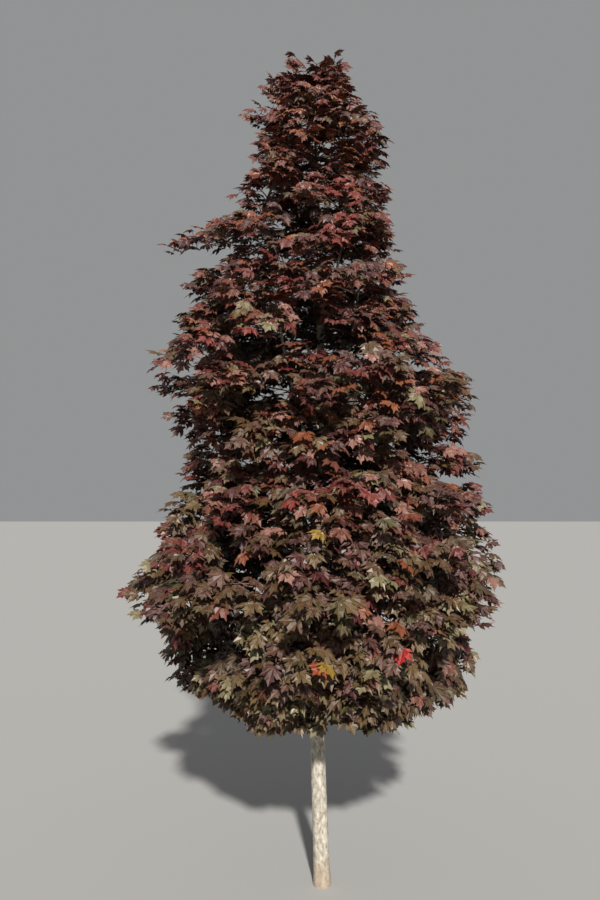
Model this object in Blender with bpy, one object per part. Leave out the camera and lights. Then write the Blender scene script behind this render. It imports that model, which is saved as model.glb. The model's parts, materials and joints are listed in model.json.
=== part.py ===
"""Young columnar Norway maple with purple leaves, rooted in level ground.

One straight trunk runs up through the whole crown. Steep boughs leave it all the way up, and each
carries one mass of foliage: a stem, the twigs that branch from it, and broad lobed leaves that each
stand for a spray. Metres, +Z up, origin at the centre of the flat cut under the trunk.
The front of the tree looks along -Y, and its right side is +X.
"""

import math
import random

import bmesh
import bpy
from mathutils import Matrix, Vector
from mathutils.bvhtree import BVHTree

# Driving dimensions ------------------------------------------------------------------------------

TREE_TOP = 3.93
CROWN_FOOT = 0.66  # height of the lowest leaf tips

# The crown's outline: height, reach to the left and reach to the right of the trunk's foot.
CROWN_OUTLINE = (
    (CROWN_FOOT, 0.36, 0.38),
    (0.80, 0.56, 0.66),
    (0.95, 0.78, 0.76),
    (1.08, 0.80, 0.72),
    (1.27, 0.97, 0.88),
    (1.48, 0.88, 0.90),
    (1.72, 0.70, 0.82),
    (1.95, 0.70, 0.74),
    (2.20, 0.84, 0.82),
    (2.38, 0.87, 0.70),
    (2.50, 0.76, 0.54),
    (2.72, 0.72, 0.48),
    (2.86, 0.64, 0.43),
    (2.96, 0.80, 0.41),
    (3.08, 0.50, 0.38),
    (3.30, 0.38, 0.38),
    (3.46, 0.39, 0.40),
    (3.64, 0.42, 0.31),
    (3.78, 0.31, 0.21),
    (TREE_TOP, 0.18, 0.12),
)

# The trunk: height, sideways place and radius. It leans to the left at first, then straightens.
TRUNK_LINE = (
    (0.00, 0.000, 0.0410),
    (0.03, 0.000, 0.0385),  # straight up from the ground, so that the cut is level
    (0.09, -0.003, 0.0362),
    (0.20, -0.006, 0.0350),
    (0.45, -0.014, 0.0335),
    (0.75, -0.021, 0.0315),
    (1.15, -0.022, 0.0275),
    (1.60, -0.014, 0.0235),
    (2.10, -0.004, 0.0190),
    (2.60, 0.000, 0.0145),
    (3.05, -0.010, 0.0105),
    (3.42, -0.022, 0.0070),
)
TRUNK_BEVEL = 4  # bevel resolution, which gives twelve sides
BOUGH_BEVEL = 1  # six sides
STEM_BEVEL = 0  # four sides
LIMB_STEPS = 3  # straight runs in a bough or a stem

SEAT_GAP = 0.0003  # between two pieces that touch on the tree
LIMB_CLEAR = 0.004  # between leaves and the pieces that they pass

BOUGH_SHARE = 0.40  # a bough's foot, as a share of the trunk's radius there
BOUGH_TAPER = 0.65  # its tip, as a share of its foot
LOWEST_BOUGH = 0.74
BOUGH_REACH = 0.34  # of the crown's reach, where a bough enters its foliage
BOUGH_TIP_RISE = 0.30  # of its tier's height
BOUGH_SWEEP = 0.22  # of its run, how far a bough bows out before it rises
STEM_DEPTH = 0.36  # from a stem's tip out to the crown's outline
STEM_RUN = 0.03  # least distance that a stem runs out from its bough
STEM_TIP_RISE = 0.80  # of its tier's height
STEM_BEND = 0.40  # of its length, how far a stem runs on straight before it bends
STEM_TIP_RADIUS = 0.0040
TWIGS_FROM = 0.06  # shares of the stem's length, where its lowest and highest twigs leave it
TWIGS_TO = 0.96
LEAST_TWIG_REACH = 0.05  # from the Z axis to a twig's end
TWIG_BASE_RADIUS = 0.0046
TWIG_TIP_RADIUS = 0.0034
LEADER_TOP = Vector((-0.03, 0.0, 3.72))

SPRAY_SPACING = 0.285  # between neighbouring sprays on the crown's outside
FEWEST_SPRAYS = 6
LEADER_SPRAYS = 11
LEAF_LENGTH = 0.25
LEAF_THICKNESS = 0.024  # of its length, at the midrib
LEAF_ROOT = 0.0012  # how far past the twig's axis a leaf's root is sunk
LEAF_MARGIN = 1.03  # a leaf's neighbours stay off this much more than its length
LEAF_TRIES = 12
SHRINK = 0.03  # of its length that a leaf loses at each new try
LOOSEN = 0.25  # by how much each new try widens the spread of its pitch
OUTLINE_SLACK = 0.012  # how far a tip may pass the outline
SECTOR_SLACK = 0.14  # radians that a leaf's middle may pass its sector's side

# The blade's half outline, root to tip, in shares of its length: a side lobe's tip, then a notch.
LEAF_HALF_OUTLINE = ((0.50, 0.56), (0.19, 0.64))
LEAF_CREST = 0.36  # where along the midrib the blade is thickest
LEAF_SAG = 0.16  # how far the lobes' tips hang under the crest

# How a leaf points, against its height: the midrib's angle above the horizon, in degrees.
LEAF_PITCH = (
    (CROWN_FOOT, -60),
    (1.20, -38),
    (2.60, -30),
    (3.60, -24),
    (3.78, 20),
    (TREE_TOP, 60),
)
PITCH_SPREAD = 0.30  # radians either way, and so are the next two
TURN_SPREAD = 0.25
ROLL_SPREAD = 0.45
REACH_SPREAD = (0.98, 1.01)  # of the crown's reach, where a spray's first leaf ends

# A spray's side leaves: where along the twig, how far round from its end leaf, and their size.
SIDE_LEAVES = (
    (0.86, math.radians(82), 0.94),
    (0.66, math.radians(-82), 0.94),
    (0.34, math.radians(100), 0.88),
)

# Each tier of the crown: name, floor, ceiling, its directions and how steeply its boughs rise, as
# rise over run. Tiers take the four sides and the four corners by turns.
SIDES = {"right": 0, "back": 90, "left": 180, "front": 270}
CORNERS = {"back_right": 45, "back_left": 135, "front_left": 225, "front_right": 315}
THIRDS = {"back": 90, "front_left": 210, "front_right": 330}
OTHER_THIRDS = {"back_right": 50, "left": 180, "front_right": 310}
TIERS = (
    ("skirt", CROWN_FOOT, 1.08, CORNERS, 0.45),
    ("lower", 1.08, 1.48, SIDES, 0.95),
    ("middle", 1.48, 1.90, CORNERS, 1.50),
    ("shoulder", 1.90, 2.34, SIDES, 2.10),
    ("upper", 2.34, 2.78, CORNERS, 2.40),
    ("neck", 2.78, 3.20, OTHER_THIRDS, 2.40),
    ("crest", 3.20, 3.56, THIRDS, 2.40),
)
RED_FROM = 2.0  # height above which the leaves are red

LEAF_RED = (0.085, 0.018, 0.016, 1.0)
LEAF_BRONZE = (0.075, 0.036, 0.020, 1.0)
BARK_GREY = (0.42, 0.37, 0.29, 1.0)
BARK_ROUGHNESS = 0.85
LEAF_ROUGHNESS = 0.45

GOLDEN = (math.sqrt(5) - 1) / 2
WELD = 0.00001  # merge distance for a curve's caps
SCRAP_WELD = 0.000002  # merge distance after a join


# The crown's shape -------------------------------------------------------------------------------


def between(rows, height):
    """The row of a table at this height, by straight interpolation on its first column."""
    for low, high in zip(rows, rows[1:]):
        if height <= high[0]:
            share = max(0.0, (height - low[0]) / (high[0] - low[0]))
            return [a + share * (b - a) for a, b in zip(low, high)]
    return list(rows[-1])


def crown_reach(height, azimuth):
    """How far the foliage reaches from the Z axis. In front and behind it is the mean of the sides."""
    _, left, right = between(CROWN_OUTLINE, height)
    return (left + right) / 2 + (right - left) / 2 * math.cos(azimuth)


def trunk_centre(height):
    return Vector((between(TRUNK_LINE, height)[1], 0.0, height))


def polar(radius, azimuth, height):
    return Vector((radius * math.cos(azimuth), radius * math.sin(azimuth), height))


def turn_between(a, b):
    """The smaller angle between two azimuths."""
    return abs((a - b + math.pi) % (2 * math.pi) - math.pi)


# Materials and collections -----------------------------------------------------------------------


def material(name, colour, roughness):
    made = bpy.data.materials.new(name)
    made.use_nodes = True
    shader = made.node_tree.nodes["Principled BSDF"]
    shader.inputs["Base Color"].default_value = colour
    shader.inputs["Roughness"].default_value = roughness
    shader.inputs["Metallic"].default_value = 0.0
    return made


def collection(name):
    made = bpy.data.collections.new(name)
    bpy.context.scene.collection.children.link(made)
    return made


# Limbs -------------------------------------------------------------------------------------------


def curve_points(start, bend, end):
    """Points on the arc that leaves start towards bend and arrives at end."""
    found = []
    for i in range(LIMB_STEPS + 1):
        t = i / LIMB_STEPS
        found.append(start * (1 - t) ** 2 + bend * 2 * t * (1 - t) + end * t * t)
    return found


def taper(first, last, count):
    return [first + (last - first) * i / (count - 1) for i in range(count)]


def limb(name, points, radii, bevel, home):
    """A tapering limb with closed ends: a round curve made a mesh."""
    curve = bpy.data.curves.new(name, "CURVE")
    curve.dimensions = "3D"
    curve.twist_mode = "MINIMUM"
    curve.bevel_depth = 1.0
    curve.bevel_resolution = bevel
    curve.use_fill_caps = True
    spline = curve.splines.new("POLY")
    spline.points.add(len(points) - 1)
    for knot, place, radius in zip(spline.points, points, radii):
        knot.co = (*place, 1.0)
        knot.radius = radius
    maker = bpy.data.objects.new(name + "_curve", curve)
    home.objects.link(maker)
    graph = bpy.context.evaluated_depsgraph_get()
    mesh = bpy.data.meshes.new_from_object(maker.evaluated_get(graph))
    bpy.data.objects.remove(maker)
    bpy.data.curves.remove(curve)
    weld(mesh)
    mesh.shade_smooth()
    made = bpy.data.objects.new(name, mesh)
    home.objects.link(made)
    return made


def weld(mesh):
    """Joins a curve's loose caps to its sides."""
    work = bmesh.new()
    work.from_mesh(mesh)
    bmesh.ops.remove_doubles(work, verts=work.verts, dist=WELD)
    bmesh.ops.recalc_face_normals(work, faces=work.faces)
    work.to_mesh(mesh)
    work.free()


def make_trunk(name, home, grown=0.0):
    """The trunk from its flat cut at the ground to its tip. grown makes it that much thicker."""
    points = [Vector((x, 0.0, z)) for z, x, _ in TRUNK_LINE]
    radii = [radius + grown for _, _, radius in TRUNK_LINE]
    return limb(name, points, radii, TRUNK_BEVEL, home)


def bough_line(azimuth, floor, ceiling, rise):
    """Points of a bough from the trunk's axis to the place where it enters its foliage."""
    tip_height = floor + BOUGH_TIP_RISE * (ceiling - floor)
    run = BOUGH_REACH * crown_reach(tip_height, azimuth)
    foot_height = max(LOWEST_BOUGH, tip_height - rise * run)
    start = trunk_centre(foot_height)
    end = trunk_centre(tip_height) + polar(run, azimuth, 0.0)
    bow = polar(BOUGH_SWEEP * run, azimuth, 0.0)
    return curve_points(start, start.lerp(end, 0.5) + bow, end)


def foot_radius(points):
    return BOUGH_SHARE * between(TRUNK_LINE, points[0].z)[2]


def make_bough(name, points, cutter, home):
    """A bough whose foot is cut to the trunk's round side."""
    foot = foot_radius(points)
    bough = limb(name, points, taper(foot, foot * BOUGH_TAPER, len(points)), BOUGH_BEVEL, home)
    join(bough, "DIFFERENCE", thing=cutter)
    keep_largest_body(bough)
    return bough


def stem_line(before, last, end):
    """A mass's own stem. It carries on straight from a limb that ends at last, a seat's gap on."""
    along = (last - before).normalized()
    start = last + along * SEAT_GAP
    bend = start + along * STEM_BEND * (end - start).length
    points = curve_points(start, bend, end)
    points[1] = start + along * (points[1] - start).length
    return points


def on_line(points, share):
    """The place at this share of a line's points."""
    step = share * (len(points) - 1)
    first = min(int(step), len(points) - 2)
    return points[first].lerp(points[first + 1], step - first)


# Joining -----------------------------------------------------------------------------------------


def join(target, operation, thing=None, group=None):
    """Cuts one object from the target, or joins a whole collection to it, and applies that."""
    step = target.modifiers.new("join", "BOOLEAN")
    step.operation = operation
    step.solver = "EXACT"
    if group:
        step.operand_type = "COLLECTION"
        step.collection = group
    else:
        step.object = thing
    graph = bpy.context.evaluated_depsgraph_get()
    mesh = bpy.data.meshes.new_from_object(target.evaluated_get(graph))
    target.modifiers.clear()
    target.data = mesh


def bodies_of(work):
    """The mesh's faces in groups that hang together."""
    todo, bodies = set(work.faces), []
    while todo:
        body, border = set(), [todo.pop()]
        while border:
            face = border.pop()
            body.add(face)
            fresh = {other for edge in face.edges for other in edge.link_faces} & todo
            todo -= fresh
            border += fresh
        bodies.append(body)
    return bodies


def keep_largest_body(thing):
    """Drops the loose scraps and the sealed hollows that a join has left."""
    work = bmesh.new()
    work.from_mesh(thing.data)
    bmesh.ops.remove_doubles(work, verts=work.verts, dist=SCRAP_WELD)
    bmesh.ops.dissolve_degenerate(work, edges=work.edges, dist=SCRAP_WELD)
    bmesh.ops.triangulate(work, faces=work.faces)
    bodies = bodies_of(work)
    best = max(bodies, key=lambda body: sum(face.calc_area() for face in body))
    scraps = [face for body in bodies if body is not best for face in body]
    bmesh.ops.delete(work, geom=scraps, context="FACES")
    work.to_mesh(thing.data)
    work.free()


# Twigs and leaves --------------------------------------------------------------------------------


def twig_mesh(start, end, grown=0.0):
    """A straight three-sided twig as points and faces, with one flat side underneath."""
    along = end - start
    turn = along.to_track_quat("Z", "Y").to_matrix().to_4x4()
    work = bmesh.new()
    bmesh.ops.create_cone(
        work,
        cap_ends=True,
        segments=3,
        radius1=TWIG_BASE_RADIUS + grown,
        radius2=TWIG_TIP_RADIUS + grown,
        depth=along.length,
        matrix=Matrix.Translation(start.lerp(end, 0.5)) @ turn,
    )
    points = [corner.co.copy() for corner in work.verts]
    faces = [tuple(corner.index for corner in face.verts) for face in work.faces]
    work.free()
    return points, faces


def leaf_mesh(length, thickness):
    """A lobed blade as points and faces: a ring of outline points round two raised crests."""
    half = [Vector((x, y, 0.0)) for x, y in LEAF_HALF_OUTLINE]
    ring = [Vector((0, 0, 0)), *half, Vector((0, 1, 0))]
    ring += [Vector((-p.x, p.y, 0.0)) for p in reversed(half)]
    for point in ring[1:]:
        point.z = -LEAF_SAG * ((point.y - LEAF_CREST) ** 2 + point.x**2)
    points = [p * length for p in ring]
    crest = Vector((0, LEAF_CREST, 0)) * length
    points.append(crest + Vector((0, 0, thickness / 2)))
    points.append(crest - Vector((0, 0, thickness / 2)))
    count = len(ring)
    faces = [(i, (i + 1) % count, count) for i in range(count)]
    faces += [((i + 1) % count, i, count + 1) for i in range(count)]
    return points, faces


def leaf_turn(outward, side, pitch, roll):
    """A leaf's turn: its midrib swings by side from the way out, then is tipped up by pitch."""
    heading = math.atan2(outward.y, outward.x) + side
    turn = Matrix.Rotation(heading - math.pi / 2, 4, "Z")
    return turn @ Matrix.Rotation(pitch, 4, "X") @ Matrix.Rotation(roll, 4, "Y")


def leaf_pitch(height):
    return math.radians(between(LEAF_PITCH, height)[1])


def loose_object(name, points, faces, home):
    mesh = bpy.data.meshes.new(name)
    mesh.from_pydata(points, [], faces)
    made = bpy.data.objects.new(name, mesh)
    home.objects.link(made)
    return made


# Room between the masses -------------------------------------------------------------------------


class Neighbours:
    """Every piece so far with its owner, to see whether a new one would touch another's."""

    def __init__(self):
        self.held = []

    @staticmethod
    def ball(points):
        centre = sum(points, Vector()) / len(points)
        return centre, max((p - centre).length for p in points)

    def add(self, owner, points, faces):
        self.held.append((owner, *self.ball(points), BVHTree.FromPolygons(points, faces)))

    def add_object(self, thing):
        faces = [tuple(face.vertices) for face in thing.data.polygons]
        self.add(thing.name, [v.co.copy() for v in thing.data.vertices], faces)

    def clear(self, owner, points, faces):
        """True if this piece touches nothing but its owner's."""
        centre, size = self.ball(points)
        tree = BVHTree.FromPolygons(points, faces)
        for other, middle, reach, held in self.held:
            near = (middle - centre).length <= reach + size
            if near and other != owner and tree.overlap(held):
                return False
        return True


class Space:
    """The room that one mass of foliage keeps to: a sector of the crown between two heights."""

    def __init__(self, name, azimuth, width, floor, ceiling, fewest=FEWEST_SPRAYS):
        self.name, self.azimuth, self.width = name, azimuth, width
        self.floor, self.ceiling, self.fewest = floor, ceiling, fewest

    def holds(self, middle, tip):
        """True if a leaf's middle is in this sector, and its tip within the crown's outline."""
        away = turn_between(math.atan2(middle.y, middle.x), self.azimuth)
        if self.width < 2 * math.pi and away > self.width / 2 + SECTOR_SLACK:
            return False
        if not CROWN_FOOT - OUTLINE_SLACK <= tip.z <= TREE_TOP + OUTLINE_SLACK:
            return False
        reach = crown_reach(tip.z, math.atan2(tip.y, tip.x))
        return tip.xy.length <= reach + OUTLINE_SLACK

    def sprays(self):
        """Evenly spread leaf tips on the crown's outline, the furthest from the mass's foot first."""
        middle = (self.floor + self.ceiling) / 2
        area = crown_reach(middle, self.azimuth) * self.width * (self.ceiling - self.floor)
        count = max(self.fewest, round(area / SPRAY_SPACING**2))
        tips = []
        for i in range(count):
            azimuth = self.azimuth + self.width * ((i + 0.5) / count - 0.5)
            rise = ((i + 1) * GOLDEN) % 1.0 * (self.ceiling - self.floor)
            away = math.hypot(crown_reach(self.floor + rise, azimuth), rise)
            tips.append((-away, azimuth, self.floor + rise))
        return [(azimuth, height) for _, azimuth, height in sorted(tips)]


# Foliage -----------------------------------------------------------------------------------------


def grow_leaf(space, place, side, tip_pitch, scale, near, draws, home):
    """Adds one leaf rooted at place if some turn of it fits, and tells whether it did."""
    for attempt in range(LEAF_TRIES):
        length = LEAF_LENGTH * scale * (1.0 - SHRINK * attempt)
        spread = PITCH_SPREAD * (1 + LOOSEN * attempt)
        pitch = tip_pitch + (draws.uniform(-spread, spread) if attempt else 0.0)
        swing = side + draws.uniform(-TURN_SPREAD, TURN_SPREAD)
        turn = leaf_turn(place, swing, pitch, draws.uniform(-ROLL_SPREAD, ROLL_SPREAD))
        midrib = (turn @ Vector((0, 1, 0))).normalized()
        if not space.holds(place + midrib * length * 0.5, place + midrib * length):
            continue
        seat = Matrix.Translation(place - midrib * LEAF_ROOT) @ turn
        thickness = LEAF_THICKNESS * length
        wide, faces = leaf_mesh(length * LEAF_MARGIN, thickness + 2 * LIMB_CLEAR)
        if not near.clear(space.name, [seat @ p for p in wide], faces):
            continue
        points, faces = leaf_mesh(length, thickness)
        points = [seat @ p for p in points]
        loose_object("leaf", points, faces, home)
        near.add(space.name + "_leaf", points, faces)
        return True
    return False


def grow_spray(space, start, end, pitch, near, draws, home):
    """One twig with a leaf at its end and more on its sides. It tells how many leaves grew."""
    wide, faces = twig_mesh(start, end, grown=LIMB_CLEAR)
    if not near.clear(space.name, wide, faces):
        return 0
    points, faces = twig_mesh(start, end)
    loose_object("twig", points, faces, home)
    near.add(space.name, points, faces)
    root = end - (end - start).normalized() * LEAF_ROOT
    count = grow_leaf(space, root, 0.0, pitch, 1.0, near, draws, home)
    way = draws.choice((-1, 1))
    for share, side, scale in SIDE_LEAVES:
        root = start.lerp(end, share)
        pitch = leaf_pitch(root.z) + draws.uniform(-PITCH_SPREAD, PITCH_SPREAD)
        count += grow_leaf(space, root, way * side, pitch, scale, near, draws, home)
    return count


def grow_sprays(space, stem, near, draws, home):
    """Every spray of one mass, each with its first leaf's tip on the crown's outline."""
    count = 0
    for azimuth, tip_height in space.sprays():
        rise = (tip_height - space.floor) / (space.ceiling - space.floor)
        pitch = leaf_pitch(tip_height) + draws.uniform(-PITCH_SPREAD, PITCH_SPREAD)
        reach = crown_reach(tip_height, azimuth) * draws.uniform(*REACH_SPREAD)
        radius = max(LEAST_TWIG_REACH, reach - LEAF_LENGTH * math.cos(pitch))
        end = polar(radius, azimuth, tip_height - LEAF_LENGTH * math.sin(pitch))
        start = on_line(stem, TWIGS_FROM + (TWIGS_TO - TWIGS_FROM) * rise)
        count += grow_spray(space, start, end, pitch, near, draws, home)
    return count


def make_foliage(space, stem, first_radius, near, look, home):
    """One mass: its stem, and the sprays that branch from it, fused into one solid."""
    radii = taper(first_radius, STEM_TIP_RADIUS, len(stem))
    mass = limb(space.name, stem, radii, STEM_BEVEL, home)
    near.add_object(mass)
    loose = collection(space.name + "_loose")
    count = grow_sprays(space, stem, near, random.Random(space.name), loose)
    join(mass, "UNION", group=loose)
    for piece in list(loose.objects):
        bpy.data.objects.remove(piece)
    bpy.data.collections.remove(loose)
    keep_largest_body(mass)
    mass.data.materials.clear()
    mass.data.materials.append(look)
    print(f"{space.name}: {count} leaves, {len(mass.data.polygons)} faces")


# Assembly ----------------------------------------------------------------------------------------


def make_boughs(bark, near, home, helpers):
    """Every bough, and for each one the space, the stem and the first radius of its foliage."""
    cutter = make_trunk("trunk_cutter", helpers, grown=SEAT_GAP)
    cutter.hide_render = True
    cutter.display_type = "WIRE"
    planned = []
    for tier, floor, ceiling, directions, rise in TIERS:
        width = 2 * math.pi / len(directions)
        for side, degrees in directions.items():
            azimuth = math.radians(degrees)
            line = bough_line(azimuth, floor, ceiling, rise)
            bough = make_bough(f"bough_{tier}_{side}", line, cutter, home)
            bough.data.materials.append(bark)
            near.add_object(bough)
            space = Space(f"foliage_{tier}_{side}", azimuth, width, floor, ceiling)
            height = floor + STEM_TIP_RISE * (ceiling - floor)
            reach = max(line[-1].xy.length + STEM_RUN, crown_reach(height, azimuth) - STEM_DEPTH)
            end = polar(reach, azimuth, height)
            stem = stem_line(line[-2], line[-1], end)
            planned.append((space, stem, foot_radius(line) * BOUGH_TAPER))
    return planned


def build():
    for old in list(bpy.data.objects):
        bpy.data.objects.remove(old)
    tree = collection("norway_maple")
    helpers = collection("cutters")
    bark = material("bark", BARK_GREY, BARK_ROUGHNESS)
    red = material("red_leaf", LEAF_RED, LEAF_ROUGHNESS)
    bronze = material("bronze_leaf", LEAF_BRONZE, LEAF_ROUGHNESS)

    near = Neighbours()
    trunk = make_trunk("trunk", tree)
    trunk.data.materials.append(bark)
    near.add_object(trunk)
    planned = make_boughs(bark, near, tree, helpers)

    below, tip = (trunk_centre(height) for height, _, _ in TRUNK_LINE[-2:])
    leader = Space("foliage_leader", 0.0, 2 * math.pi, TIERS[-1][2], TREE_TOP, LEADER_SPRAYS)
    planned.append((leader, stem_line(below, tip, LEADER_TOP), TRUNK_LINE[-1][2]))

    for space, stem, first_radius in planned:
        look = red if space.floor > RED_FROM else bronze
        make_foliage(space, stem, first_radius, near, look, tree)


build()
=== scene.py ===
# %% [markdown]
# # A young Norway maple with purple leaves
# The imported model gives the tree's solids: a trunk, its boughs and the masses of foliage. This
# script loads them as a fixed frame and dresses them. The trunk and boughs get real bark, and
# every mass becomes a stem with twigs, stalks and a few hundred leaves of natural size.
# All lengths are metres, +Z is up, and the tree's front looks along -Y.

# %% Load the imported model
import json
import math
import random

import bpy
from mathutils import Matrix, Vector, noise

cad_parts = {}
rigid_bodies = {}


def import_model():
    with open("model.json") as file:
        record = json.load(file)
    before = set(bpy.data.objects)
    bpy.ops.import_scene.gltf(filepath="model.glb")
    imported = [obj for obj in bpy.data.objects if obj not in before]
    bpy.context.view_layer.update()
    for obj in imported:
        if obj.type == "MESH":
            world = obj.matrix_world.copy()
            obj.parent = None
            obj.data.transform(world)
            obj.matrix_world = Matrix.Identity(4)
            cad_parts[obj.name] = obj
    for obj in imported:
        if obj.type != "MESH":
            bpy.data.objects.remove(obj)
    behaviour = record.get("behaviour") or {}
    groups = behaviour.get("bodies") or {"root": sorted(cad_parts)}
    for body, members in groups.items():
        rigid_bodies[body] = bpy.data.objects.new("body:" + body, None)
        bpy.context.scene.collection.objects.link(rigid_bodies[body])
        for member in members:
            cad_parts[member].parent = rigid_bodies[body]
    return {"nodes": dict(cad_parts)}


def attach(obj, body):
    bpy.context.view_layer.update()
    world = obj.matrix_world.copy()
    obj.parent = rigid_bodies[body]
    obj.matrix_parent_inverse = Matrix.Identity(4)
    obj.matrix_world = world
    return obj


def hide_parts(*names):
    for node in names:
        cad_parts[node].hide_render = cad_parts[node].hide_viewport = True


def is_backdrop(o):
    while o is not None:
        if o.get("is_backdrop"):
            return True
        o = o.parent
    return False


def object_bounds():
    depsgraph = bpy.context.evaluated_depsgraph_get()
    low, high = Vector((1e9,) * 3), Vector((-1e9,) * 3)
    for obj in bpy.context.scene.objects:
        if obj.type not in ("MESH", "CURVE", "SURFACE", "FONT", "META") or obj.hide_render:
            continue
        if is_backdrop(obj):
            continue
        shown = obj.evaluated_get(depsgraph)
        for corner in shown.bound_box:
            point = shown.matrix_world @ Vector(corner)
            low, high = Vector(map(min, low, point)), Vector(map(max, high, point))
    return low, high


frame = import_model()
cad_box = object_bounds()
cad_nodes = sorted(frame["nodes"])
print("solids in the frame:", len(cad_nodes))
print("the frame's box:", [[round(x, 3) for x in corner] for corner in cad_box])

# %% [markdown]
# ## The camera
# A person's eye over level ground, a few steps off and tipped up a little, sees the whole tree.
# The lens is given as a focal length on a sensor whose long side is upright, because the frame is
# upright too. There is no shift and no depth of field, so the camera can be walked round the tree.

# %% Place the camera
EYE_HEIGHT = 1.65
EYE_DISTANCE = 3.284
EYE_SIDE = -0.098
EYE_TILT = math.radians(5.05)
FOCAL_LENGTH = 28.08  # in millimetres, as is the sensor
SENSOR = 36.0


def put_in_scene(name, data):
    """A new object at the origin that holds this data."""
    made = bpy.data.objects.new(name, data)
    bpy.context.scene.collection.objects.link(made)
    return made


lens = bpy.data.cameras.new("eye")
lens.sensor_fit = "VERTICAL"
lens.sensor_height = SENSOR
lens.lens = FOCAL_LENGTH
eye = put_in_scene("eye", lens)
eye.location = (EYE_SIDE, -EYE_DISTANCE, EYE_HEIGHT)
eye.rotation_euler = (math.pi / 2 + EYE_TILT, 0.0, 0.0)
bpy.context.scene.camera = eye
print("the camera looks from", [round(x, 3) for x in eye.location])

# %% [markdown]
# ## Light and floor
# A crown reads by its shadows: sunlit blades in front, near black between them. One sun with a
# soft edge, nearly behind the viewer and not very high, draws that. The pale world fills the shade
# a little and gives waxy leaves something to reflect. The floor is plain and pale, and it is only
# a stage.

# %% Set the light
SUN_POWER = 5.6
SUN_COLOUR = (1.0, 0.96, 0.90)
SUN_SOFTNESS = math.radians(3.0)
SUN_HEIGHT = math.radians(33.0)
SUN_BEARING = math.radians(-84.0)  # from +X towards the viewer
SKY_COLOUR = (0.91, 0.92, 0.93, 1.0)
SKY_POWER = 0.32
FLOOR_SIZE = 240.0
FLOOR_COLOUR = (0.36, 0.36, 0.355, 1.0)
FLOOR_ROUGHNESS = 0.9


def towards(bearing, height):
    """The unit vector at this bearing from +X and this angle over the ground."""
    flat = math.cos(height)
    return Vector((flat * math.cos(bearing), flat * math.sin(bearing), math.sin(height)))


def fill_in(node, values):
    """Sets inputs of a node by their names."""
    for name, value in values.items():
        node.inputs[name].default_value = value


lamp = bpy.data.lights.new("sun", "SUN")
lamp.energy = SUN_POWER
lamp.angle = SUN_SOFTNESS
lamp.color = SUN_COLOUR
sun = put_in_scene("sun", lamp)
sun.rotation_euler = towards(SUN_BEARING, SUN_HEIGHT).to_track_quat("Z", "Y").to_euler()

sky = bpy.data.worlds.new("pale_sky")
sky.use_nodes = True
fill_in(sky.node_tree.nodes["Background"], {"Color": SKY_COLOUR, "Strength": SKY_POWER})
bpy.context.scene.world = sky
bpy.context.scene.view_settings.view_transform = "Standard"

half = FLOOR_SIZE / 2
floor_mesh = bpy.data.meshes.new("floor")
corners = [(-half, -half, 0), (half, -half, 0), (half, half, 0), (-half, half, 0)]
floor_mesh.from_pydata(corners, [], [(0, 1, 2, 3)])
paint = bpy.data.materials.new("floor_paint")
paint.use_nodes = True
look = {"Base Color": FLOOR_COLOUR, "Roughness": FLOOR_ROUGHNESS}
fill_in(paint.node_tree.nodes["Principled BSDF"], look)
floor_mesh.materials.append(paint)
floor = put_in_scene("floor", floor_mesh)
floor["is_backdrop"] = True
print("sun at", round(math.degrees(SUN_HEIGHT)), "degrees over the floor")

# %% [markdown]
# ## The crown's outline
# The tree grew by a few rules, and the same ones are written again here. The first is how far the
# foliage reaches at each height, to the left and to the right. In front and behind it is the mean
# of the two with its dents filled up, and a cosine blends from one to the next, so the crown is
# full from every side.

# %% Write down how far the crown reaches
TREE_TOP = 3.93
CROWN_FOOT = 0.66
# Height, then the reach to the left and to the right.
CROWN_OUTLINE = (
    (CROWN_FOOT, 0.36, 0.38), (0.80, 0.56, 0.66), (0.95, 0.78, 0.76), (1.08, 0.80, 0.72),
    (1.27, 0.97, 0.88), (1.48, 0.88, 0.90), (1.72, 0.70, 0.82), (1.95, 0.70, 0.74),
    (2.20, 0.84, 0.82), (2.38, 0.87, 0.70), (2.50, 0.76, 0.54), (2.72, 0.72, 0.48),
    (2.86, 0.64, 0.43), (2.96, 0.80, 0.41), (3.08, 0.50, 0.38), (3.30, 0.38, 0.38),
    (3.46, 0.39, 0.40), (3.64, 0.42, 0.31), (3.78, 0.31, 0.21), (TREE_TOP, 0.18, 0.12),
)  # fmt: skip
DENT_STEPS = (-0.20, 0.0, 0.20)  # dents in the outline fill up in front and behind


def blend(low, high, share):
    """The value this share of the way from low to high."""
    return low + share * (high - low)


def between(rows, height):
    """The row of a table at this height, by straight interpolation on its first column."""
    for low, high in zip(rows, rows[1:]):
        if height <= high[0]:
            share = max(0.0, (height - low[0]) / (high[0] - low[0]))
            return [blend(a, b, share) for a, b in zip(low, high)]
    return list(rows[-1])


def crown_reach(height, azimuth):
    """How far the foliage reaches from the Z axis, at this height and on this side."""
    _, left, right = between(CROWN_OUTLINE, height)
    middle = (left + right) / 2
    around = [sum(between(CROWN_OUTLINE, height + step)[1:]) / 2 for step in DENT_STEPS]
    dent = max(0.0, sum(around) / len(around) - middle)
    return middle + dent * math.sin(azimuth) ** 2 + (right - left) / 2 * math.cos(azimuth)


def polar(radius, azimuth, height):
    return Vector((radius * math.cos(azimuth), radius * math.sin(azimuth), height))


def bearing_of(place):
    return math.atan2(place.y, place.x)


print("reach at breast height:", round(crown_reach(1.3, 0.0), 2), "m to the right")

# %% [markdown]
# ## Where the limbs run
# The trunk leans to the left, then straightens. Tiers of boughs leave it, each tier turned between
# the one below, and every bough ends where it enters its foliage. A stem carries on from there,
# straight at first and then steeper, which is how a narrow maple holds its limbs. The curves are
# worked out from the same values as the solids, so bark and twigs lie where the solids are.

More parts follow.
